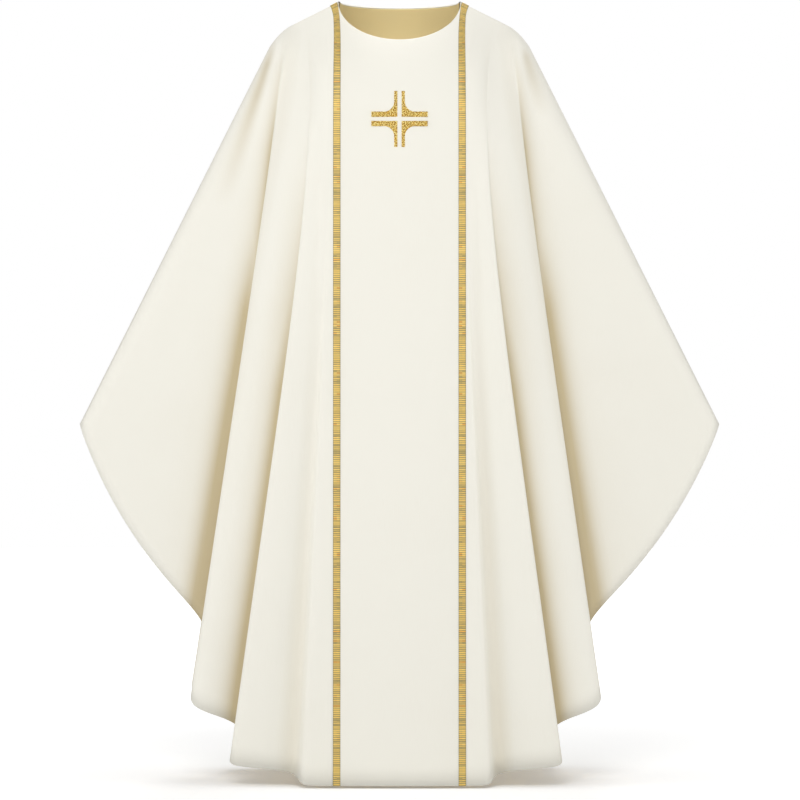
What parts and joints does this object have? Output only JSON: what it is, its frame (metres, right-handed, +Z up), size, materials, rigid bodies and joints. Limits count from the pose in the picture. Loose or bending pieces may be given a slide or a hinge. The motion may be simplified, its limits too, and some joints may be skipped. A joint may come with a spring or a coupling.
{
  "type": "chasuble",
  "caption": "Ample draped vestment with a round neckline, wide wing-like sides, lining, vertical galloons front and back and an embroidered cross on the chest.",
  "frame": {"origin": "midway between the two neck points, on the line where the garment rests on the shoulders", "axes": "+Z up, +X towards the wearer's left, +Y towards the wearer's back, so the front with the cross faces -Y"},
  "size_m": [1.074, 0.3758, 1.2971],
  "materials": {
    "shell_cloth": "ivory twill, soft matt wool blend with a faint weave",
    "lining_satin": "gold-beige lining satin, softly shiny",
    "galloon_braid": "ribbed old-gold metallic braid with dull green and orange picks",
    "cross_embroidery": "gold metallic satin stitch, bright",
    "neck_binding": "ivory bias binding of the shell cloth",
    "backing_felt": "white stiffening felt, matt",
    "stay_tape": "cotton stay tape, matt"
  },
  "bodies": {
    "root": {"back_centre_lining": "lining_satin", "back_centre_panel": "shell_cloth", "back_left_galloon": "galloon_braid", "back_left_lining": "lining_satin", "back_left_panel": "shell_cloth", "back_neck_binding": "neck_binding", "back_right_galloon": "galloon_braid", "back_right_lining": "lining_satin", "back_right_panel": "shell_cloth", "cross_backing": "backing_felt", "cross_lower_left": "cross_embroidery", "cross_lower_right": "cross_embroidery", "cross_upper_left": "cross_embroidery", "cross_upper_right": "cross_embroidery", "front_centre_lining": "lining_satin", "front_centre_panel": "shell_cloth", "front_left_galloon": "galloon_braid", "front_left_lining": "lining_satin", "front_left_panel": "shell_cloth", "front_neck_binding": "neck_binding", "front_right_galloon": "galloon_braid", "front_right_lining": "lining_satin", "front_right_panel": "shell_cloth", "left_shoulder_tape": "stay_tape", "right_shoulder_tape": "stay_tape"}
  },
  "joints": []
}
